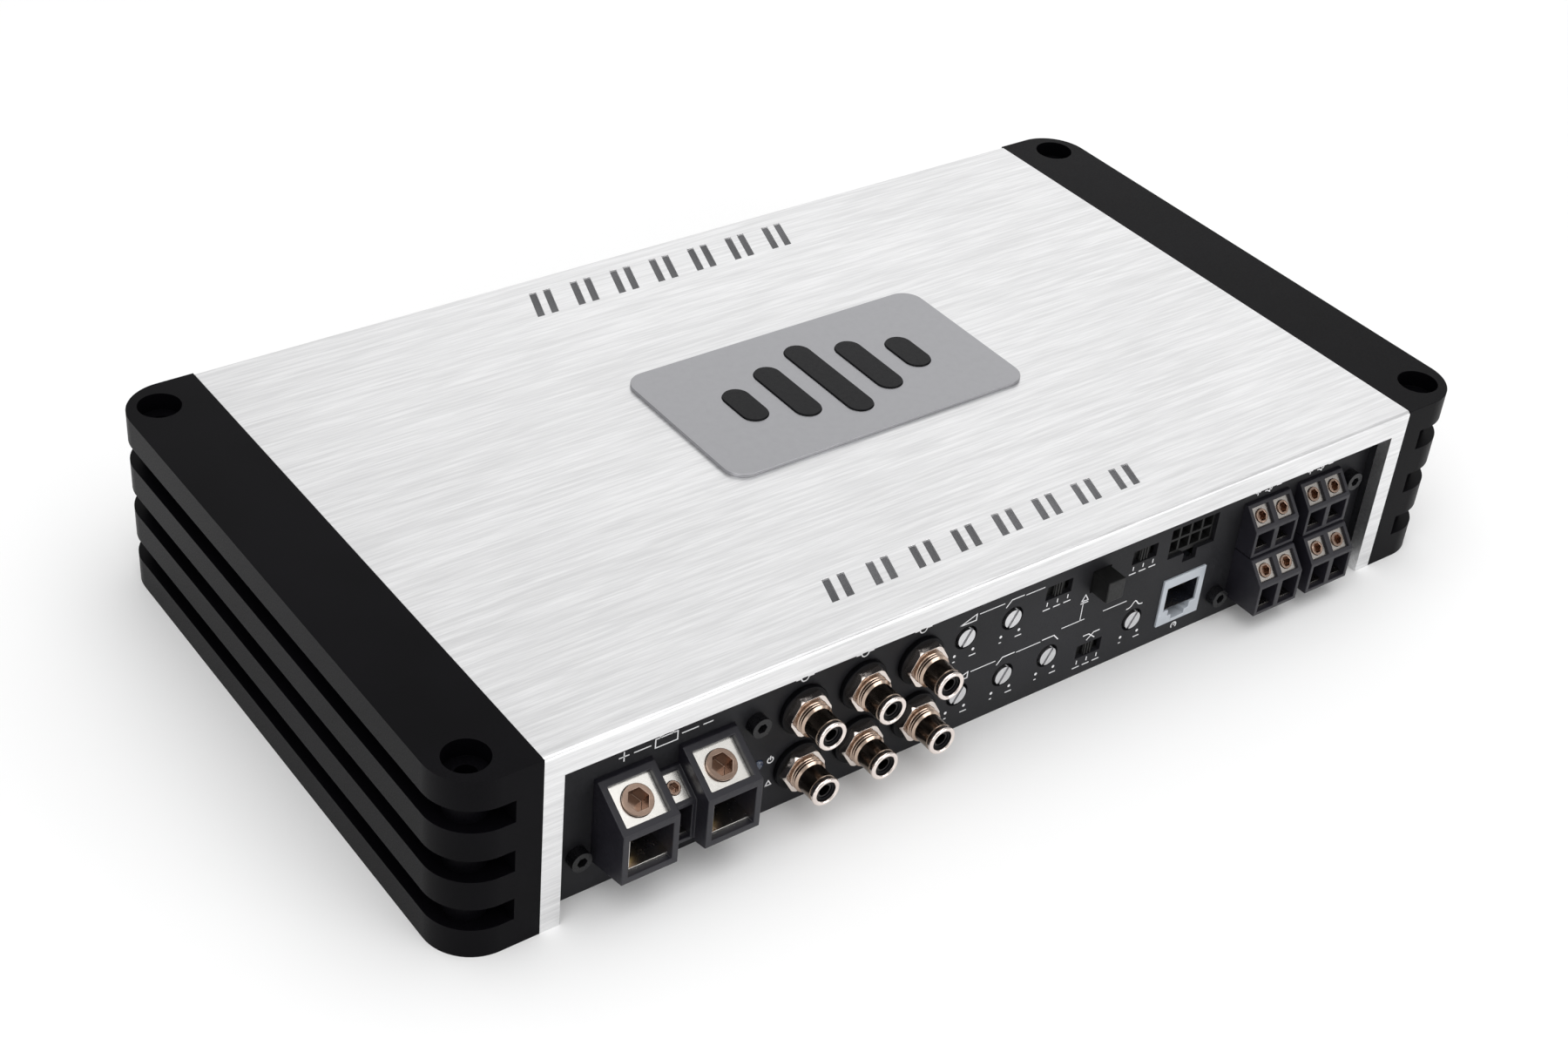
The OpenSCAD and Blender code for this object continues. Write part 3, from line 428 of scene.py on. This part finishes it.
def smooth(mesh, limit_degrees=35):
    mesh.polygons.foreach_set("use_smooth", [True] * len(mesh.polygons))
    mesh.set_sharp_from_angle(angle=math.radians(limit_degrees))
    return mesh


def bridge(builder, ring, following, material=0):
    """Joins two rings of as many vertices with a band of faces."""
    for side in range(len(ring)):
        near = (side + 1) % len(ring)
        face = builder.faces.new((ring[side], ring[near], following[near], following[side]))
        face.material_index = material


def revolve(builder, profile, place, sides, materials):
    """Turns a closed (radius, height) outline about an axis. place maps a
    point from the axis's own frame, where the height runs along +Z."""
    rings = []
    for radius, height in profile:
        turn = [2 * math.pi * side / sides for side in range(sides)]
        points = [Vector((radius * math.cos(a), radius * math.sin(a), height)) for a in turn]
        rings.append([builder.verts.new(place @ point) for point in points])
    for index, ring in enumerate(rings):
        bridge(builder, ring, rings[(index + 1) % len(rings)], materials[index])


def panel_place(x, z):
    """From an axis frame to the panel, with +Z out of the panel."""
    return Matrix.Translation((x, PANEL_Y, z)) @ Matrix.Rotation(math.pi / 2, 4, "X")


def make_phono_shells():
    """The jacks' metal shells: threaded behind, a plain barrel, and a bright
    rounded ring at the tip."""
    copper, barrel, ring = 0, 1, 2
    reach = PANEL_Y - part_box("phono_shells")[0].y
    root, crest, plug = 4.25 * MM, 4.7 * MM, 4.15 * MM
    bore, rear = 3.3 * MM, -8 * MM
    thread_start, pitch, ridges = 4.0 * MM, 0.72 * MM, 3
    points = [(bore, rear, copper), (crest, rear, copper), (crest, thread_start, copper)]
    for ridge in range(ridges):
        base = thread_start + ridge * pitch
        points.append((root, base + 0.25 * pitch, copper))
        points.append((crest, base + 0.55 * pitch, copper))
        points.append((crest, base + 0.8 * pitch, copper))
    neck = thread_start + ridges * pitch
    lip = reach - 1.7 * MM
    waist, groove = plug - 0.15 * MM, plug - 0.35 * MM
    points.append((waist, neck + 0.3 * MM, barrel))
    points.append((waist, lip - 0.3 * MM, barrel))
    points.append((groove, lip - 0.2 * MM, barrel))
    points.append((groove, lip, ring))
    ease_radius, steps = 0.7 * MM, 6
    for step in range(steps + 1):
        turn = math.pi / 2 * step / steps
        points.append(
            (
                plug - ease_radius * (1 - math.cos(turn)),
                reach - ease_radius * (1 - math.sin(turn)),
                ring,
            )
        )
    for inset, depth in ((0.2, 0.1), (0.4, 0.35), (0.3, 0.65), (0, 0.75)):
        points.append((bore - inset * MM, reach - depth * MM, ring))
    points.append((bore, reach - 2 * MM, barrel))
    builder = bmesh.new()
    profile = [(radius, height) for radius, height, _ in points]
    for x, z in jack_places():
        revolve(builder, profile, panel_place(x, z), 64, [key for *_, key in points])
    mesh = smooth(finish_mesh(builder, "phono_shell_turnings"), 40)
    piece = add_piece(
        "phono_shell_turnings", mesh, ["thread_copper", "dark_chrome", "tip_ring"]
    )
    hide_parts("phono_shells")


make_phono_shells()


LINE = 0.32 * MM
THIN_LINE = LINE * 0.8
INK = 0.04 * MM


def strip(builder, points, width=LINE):
    """A flat printed line through points (x, z) on the panel. Its stretches
    run past each other at corners, and take turns to be a little thicker."""
    for index in range(len(points) - 1):
        start, end = Vector(points[index]), Vector(points[index + 1])
        along = (end - start).normalized()
        aside = Vector((-along.y, along.x)) * width / 2
        overrun = along * width * 0.45
        corners = [
            start - overrun - aside,
            end + overrun - aside,
            end + overrun + aside,
            start - overrun + aside,
        ]
        plate(builder, corners, INK * (1 + 0.15 * (index % 2)))


def plate(builder, corners, thick):
    """A thin flat plate on the panel, with corners (x, z) in metres."""
    front = [builder.verts.new((c[0], PANEL_Y - thick, c[1])) for c in corners]
    back = [builder.verts.new((c[0], PANEL_Y + 0.01 * MM, c[1])) for c in corners]
    builder.faces.new(front)
    builder.faces.new(list(reversed(back)))
    for index in range(len(corners)):
        near = (index + 1) % len(corners)
        builder.faces.new((front[index], back[index], back[near], front[near]))


def dot(builder, x, z, radius):
    turn = [2 * math.pi * step / 16 for step in range(16)]
    plate(builder, [(x + radius * math.cos(a), z + radius * math.sin(a)) for a in turn], INK)


def arc(radius, start, sweep, steps=14):
    turn = [math.radians(start + sweep * step / steps) for step in range(steps + 1)]
    return [(radius * math.cos(a), radius * math.sin(a)) for a in turn]


def icon_points(kind):
    """A small generic sign, as lists of points in millimetres about its middle."""
    if kind == "boost":
        hump = [5.2 * (step / 14 - 0.5) for step in range(15)]
        return [[(x, 1.7 * math.exp(-((x / 1.04) ** 2)) - 0.9) for x in hump]]
    if kind == "jack":
        return [arc(1.1, 0, 360), [(-2.6, 0), (-1.1, 0)], [(1.1, 0), (2.6, 0)]]
    if kind == "power":
        return [arc(1.1, 120, 300), [(0, 0.2), (0, 1.5)]]
    if kind == "knob":
        return [arc(1.2, -40, 260), [(0, 0), (0.9, 0.9)]]
    signs = {
        "level": [[(-2.4, -0.9), (2.4, -0.9), (2.4, 0.9), (-2.4, -0.9)]],
        "highpass": [[(-2.6, -0.9), (-1.1, 0.8), (2.6, 0.8)]],
        "lowpass": [[(-2.6, 0.8), (1.1, 0.8), (2.6, -0.9)]],
        "crossover": [
            [(-2.6, 0.8), (-0.8, 0.8), (1.2, -0.9)],
            [(-1.2, -0.9), (0.8, 0.8), (2.6, 0.8)],
        ],
        "plus": [[(-1, 0), (1, 0)], [(0, -1), (0, 1)]],
        "minus": [[(-1, 0), (1, 0)]],
        "battery": [
            [(-2.6, -1.1), (2.6, -1.1), (2.6, 1.1), (-2.6, 1.1), (-2.6, -1.1)],
            [(-1.5, 1.1), (-1.5, 1.6), (-0.8, 1.6)],
            [(1.5, 1.1), (1.5, 1.6), (0.8, 1.6)],
        ],
        "speaker": [
            [(-1.3, -0.5), (-0.5, -0.5), (0.6, -1.2), (0.6, 1.2), (-0.5, 0.5), (-1.3, 0.5)],
            [(1.2, -0.6), (1.4, 0), (1.2, 0.6)],
        ],
        "press": [[(-1.1, -0.9), (1.1, -0.9), (0, 0.9), (-1.1, -0.9)], [(-1.1, -1.5), (1.1, -1.5)]],
        "caution": [[(-1.1, -0.9), (1.1, -0.9), (0, 1), (-1.1, -0.9)]],
    }
    return signs[kind]


def draw_icon(builder, kind, x, z, size=1.0):
    for points in icon_points(kind):
        strip(builder, [(x + size * MM * a, z + size * MM * b) for a, b in points])


def bar(builder, x, z, length):
    """A short level line, length millimetres long, about x."""
    half = length / 2 * MM
    strip(builder, [(x - half, z), (x + half, z)])


def print_trimmers(builder):
    """A sign over each trimmer, and a dot and a bar at each end of its scale."""
    signs = ("level", "highpass", "level", "highpass", "lowpass", "boost")
    sign_rise, reach, dot_drop, bar_drop = 5.6 * MM, 3.1 * MM, 5.0 * MM, 6.9 * MM
    for sign, name in zip(signs, TRIMMERS):
        at = middle(name)
        draw_icon(builder, sign, at.x, at.z + sign_rise, 1.1)
        for side in (-1, 1):
            dot(builder, at.x + side * reach, at.z - dot_drop, 0.45 * MM)
            bar(builder, at.x + side * reach, at.z - bar_drop, 1.2 + side * 0.7)


def print_sliders(builder):
    """A tick and a bar under each place of a slide switch, and a sign over the
    one in the lower row, where the panel has room for it."""
    step, tick_top, tick_foot, bar_drop = 3.6 * MM, 3.1 * MM, 4.1 * MM, 5.3 * MM
    lower_row, sign_rise = 20 * MM, 4.4 * MM
    for name in SLIDERS:
        at = middle(name)
        for side in (-1, 0, 1):
            x = at.x + side * step
            strip(builder, [(x, at.z - tick_top), (x, at.z - tick_foot)])
            bar(builder, x, at.z - bar_drop, 2.2)
        if at.z < lower_row:
            draw_icon(builder, "crossover", at.x, at.z + sign_rise, 1.1)


def print_signal_lines(builder):
    """Thin lines that join the controls of one pair of channels."""
    gap, boost_rise, switch_gap = 3.7 * MM, 1.6 * MM, 5.6 * MM
    cross_left, cross_right, cross_branch, switch_drop = 4 * MM, 3 * MM, 5.5 * MM, 7.5 * MM
    fronts = [middle(name) for name in TRIMMERS[:2]]
    rears = [middle(name) for name in TRIMMERS[2:5]]
    boost, cross = middle(TRIMMERS[5]), middle(SLIDERS[1])
    rise = 6.2 * MM
    for first, second in ((fronts[0], fronts[1]), (rears[0], rears[1]), (rears[1], rears[2])):
        z = first.z + rise
        strip(builder, [(first.x + gap, z), (second.x - gap, z)], THIN_LINE)
    switch = middle(SLIDERS[0])
    z = fronts[1].z + rise
    strip(builder, [(fronts[1].x + gap, z), (switch.x - switch_gap, z)], THIN_LINE)
    z = rears[2].z + rise + boost_rise
    strip(builder, [(rears[2].x + gap, z), (cross.x - cross_left, z)], THIN_LINE)
    strip(builder, [(cross.x + cross_right, z), (boost.x - gap, z)], THIN_LINE)
    split = cross.x - cross_branch
    strip(builder, [(split, z), (split, switch.z - switch_drop)], THIN_LINE)


def print_connectors(builder):
    """Signs beside the jacks, terminals, socket, button and status lights."""
    jack_rise, power_rise, speaker_rise = 9.4 * MM, 3.4 * MM, 2.4 * MM
    knob_drop, press_offset = 2.3 * MM, 4.6 * MM
    light_aside, light_inset = 3.6 * MM, 1.4 * MM
    for x, z in jack_places()[1::2]:
        draw_icon(builder, "jack", x, z + jack_rise, 1.0)
    plus, minus = middle("positive_screw").x, middle("negative_screw").x
    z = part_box("power_terminal_housing")[1].z + power_rise
    draw_icon(builder, "plus", plus, z, 1.3)
    draw_icon(builder, "minus", minus, z, 1.3)
    draw_icon(builder, "battery", (plus + minus) / 2, z, 1.2)
    for side in (-1, 1):
        bar(builder, (plus + minus) / 2 + side * 6.7 * MM, z, 4.5)
    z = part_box("speaker_housings")[1].z + speaker_rise
    poles = [middle(f"speaker_screw_{index}").x for index in range(1, 5)]
    for x, sign in zip(poles, ("plus", "minus", "plus", "minus")):
        draw_icon(builder, sign, x, z, 0.8)
    for first, second in (poles[:2], poles[2:]):
        draw_icon(builder, "speaker", (first + second) / 2, z, 0.9)
    low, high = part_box("remote_socket")
    draw_icon(builder, "knob", (low.x + high.x) / 2, low.z - knob_drop, 0.8)
    button = middle("input_mode_button")
    draw_icon(builder, "press", button.x - press_offset, button.z - press_offset, 1.1)
    low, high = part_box("status_leds")
    x = (low.x + high.x) / 2 + light_aside
    draw_icon(builder, "caution", x, low.z + light_inset, 0.8)
    draw_icon(builder, "power", x, high.z - light_inset, 0.8)


def make_legend():
    """White print on the panel: signs, scale dots, ticks and signal lines."""
    builder = bmesh.new()
    print_trimmers(builder)
    print_sliders(builder)
    print_signal_lines(builder)
    print_connectors(builder)
    mesh = finish_mesh(builder, "panel_print")
    add_piece("panel_print", mesh, "printed_ink")


make_legend()


def make_engraving_fill():
    """Grey paint on the floor of every engraved stroke of the cover."""
    cover = frame["nodes"]["top_cover"].data
    deep, shallow, paint = TOP_Z - 1.0 * MM, TOP_Z - 0.3 * MM, 0.06 * MM
    builder = bmesh.new()
    known = {}
    for polygon in cover.polygons:
        corners = [cover.vertices[index].co for index in polygon.vertices]
        if polygon.normal.z < 0.9 or not all(deep < c.z < shallow for c in corners):
            continue
        keys = [tuple(round(v, 6) for v in c) for c in corners]
        for key, corner in zip(keys, corners):
            if key not in known:
                known[key] = builder.verts.new(corner)
        builder.faces.new([known[key] for key in keys])
    floor = bmesh.ops.extrude_face_region(builder, geom=list(builder.faces))
    raised = [item for item in floor["geom"] if isinstance(item, bmesh.types.BMVert)]
    bmesh.ops.translate(builder, verts=raised, vec=(0, 0, paint))
    add_piece(
        "engraving_paint", finish_mesh(builder, "engraving_paint"), "engraving_grey"
    )


make_engraving_fill()


def make_socket_wires():
    """Eight spring contacts in the modular socket."""
    low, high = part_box("remote_socket")
    centre = (low + high) / 2
    count, pitch, radius = 8, 1.02 * MM, 0.16 * MM
    top, bottom = centre.z + 4.6 * MM, centre.z - 2.6 * MM
    front, back = low.y + 1.2 * MM, low.y + 9.5 * MM
    builder = bmesh.new()
    for index in range(count):
        x = centre.x + (index - (count - 1) / 2) * pitch
        route = [
            Vector((x, back, top)),
            Vector((x, front + 2.4 * MM, top - 0.2 * MM)),
            Vector((x, front + 1.2 * MM, top - 1.0 * MM)),
            Vector((x, front + 2.2 * MM, bottom + 3.2 * MM)),
            Vector((x, back, bottom + 1.2 * MM)),
        ]
        tube(builder, route, radius)
    mesh = smooth(finish_mesh(builder, "socket_contacts"), 50)
    add_piece("socket_contacts", mesh, "gold_wire")


def tube(builder, route, radius, sides=8):
    """A round wire along a route in a plane of constant X."""
    rings = []
    for index, point in enumerate(route):
        before, after = route[max(index - 1, 0)], route[min(index + 1, len(route) - 1)]
        along = (after - before).normalized()
        side = Vector((1, 0, 0))
        up = along.cross(side)
        ring = []
        for step in range(sides):
            turn = 2 * math.pi * step / sides
            ring.append(
                builder.verts.new(
                    point + side * radius * math.cos(turn) + up * radius * math.sin(turn)
                )
            )
        rings.append(ring)
    for ring, following in zip(rings, rings[1:]):
        bridge(builder, ring, following)
    builder.faces.new(rings[0])
    builder.faces.new(rings[-1])


make_socket_wires()


def make_socket_shade_lining():
    """A dark lining in the modular socket's mouth, which paints the shade inside it."""
    low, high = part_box("remote_socket")
    centre = (low + high) / 2
    half, top, bottom = 5.95 * MM, centre.z + 4.75 * MM, centre.z - 3.15 * MM
    front, back, thick = low.y + 0.6 * MM, high.y - 2.1 * MM, 0.25 * MM
    builder = bmesh.new()
    outline = [(-half, bottom), (half, bottom), (half, top), (-half, top)]
    inner = [
        (-half + thick, bottom + thick),
        (half - thick, bottom + thick),
        (half - thick, top - thick),
        (-half + thick, top - thick),
    ]

    def loop(points, y):
        return [builder.verts.new((centre.x + x, y, z)) for x, z in points]

    rings = [
        loop(outline, front), loop(outline, back), loop(inner, back - thick), loop(inner, front)
    ]
    for ring, following in ((rings[0], rings[1]), (rings[2], rings[3]), (rings[3], rings[0])):
        bridge(builder, ring, following)
    builder.faces.new(rings[1])
    builder.faces.new(list(reversed(rings[2])))
    mesh = finish_mesh(builder, "socket_shade_lining")
    add_piece("socket_shade_lining", mesh, "socket_dark")


make_socket_shade_lining()


# ---- Stage ----


def make_floor():
    builder = bmesh.new()
    bmesh.ops.create_grid(builder, x_segments=8, y_segments=8, size=6)
    mesh = finish_mesh(builder, "floor")
    mesh.materials.append(plain_floor())
    floor = bpy.data.objects.new("floor", mesh)
    bpy.context.scene.collection.objects.link(floor)


def add_softbox(name, place, size, power):
    """A rectangular area light that faces the amplifier's middle."""
    target = (0, 0, 0.02)
    data = bpy.data.lights.new(name, "AREA")
    data.shape, data.size, data.size_y = "RECTANGLE", size[0], size[1]
    data.energy = power
    light = bpy.data.objects.new(name, data)
    light.location = place
    light.rotation_euler = (Vector(target) - Vector(place)).to_track_quat("-Z", "Y").to_euler()
    bpy.context.scene.collection.objects.link(light)


def make_lights():
    """A pale sky and four softboxes: place, size in metres, and watts."""
    world = bpy.data.worlds.new("studio")
    bpy.context.scene.world = world
    world.use_nodes = True
    sky = world.node_tree.nodes["Background"]
    sky.inputs["Color"].default_value = (1, 1, 1, 1)
    sky.inputs["Strength"].default_value = 0.6
    add_softbox("overhead", (-0.2, -0.3, 1.7), (2.2, 2.2), 22)
    add_softbox("behind", (0.95, 1.0, 0.75), (1.6, 1.0), 2.6)
    add_softbox("front_left", (-1.1, -0.7, 0.55), (0.9, 0.7), 2.5)
    add_softbox("front_right", (0.6, -1.3, 0.45), (0.8, 0.6), 4)


def make_camera():
    """The camera at the height and angle that the object is seen from."""
    place = Vector((-0.354176, -0.416879, 0.408129))
    forward = Vector((0.51526, 0.6242, -0.58727)).normalized()
    up = Vector((0.29326, 0.51546, 0.80517))
    right = forward.cross(up).normalized()
    up = right.cross(forward)
    data = bpy.data.cameras.new("camera")
    data.sensor_width, data.lens = 36, 54.958
    data.clip_start, data.clip_end = 0.01, 50
    camera = bpy.data.objects.new("camera", data)
    turn = Matrix((right, up, -forward)).transposed().to_4x4()
    camera.matrix_world = Matrix.Translation(place) @ turn
    bpy.context.scene.collection.objects.link(camera)
    bpy.context.scene.camera = camera


make_floor()
make_lights()
make_camera()
bpy.context.scene.view_settings.view_transform = "Standard"
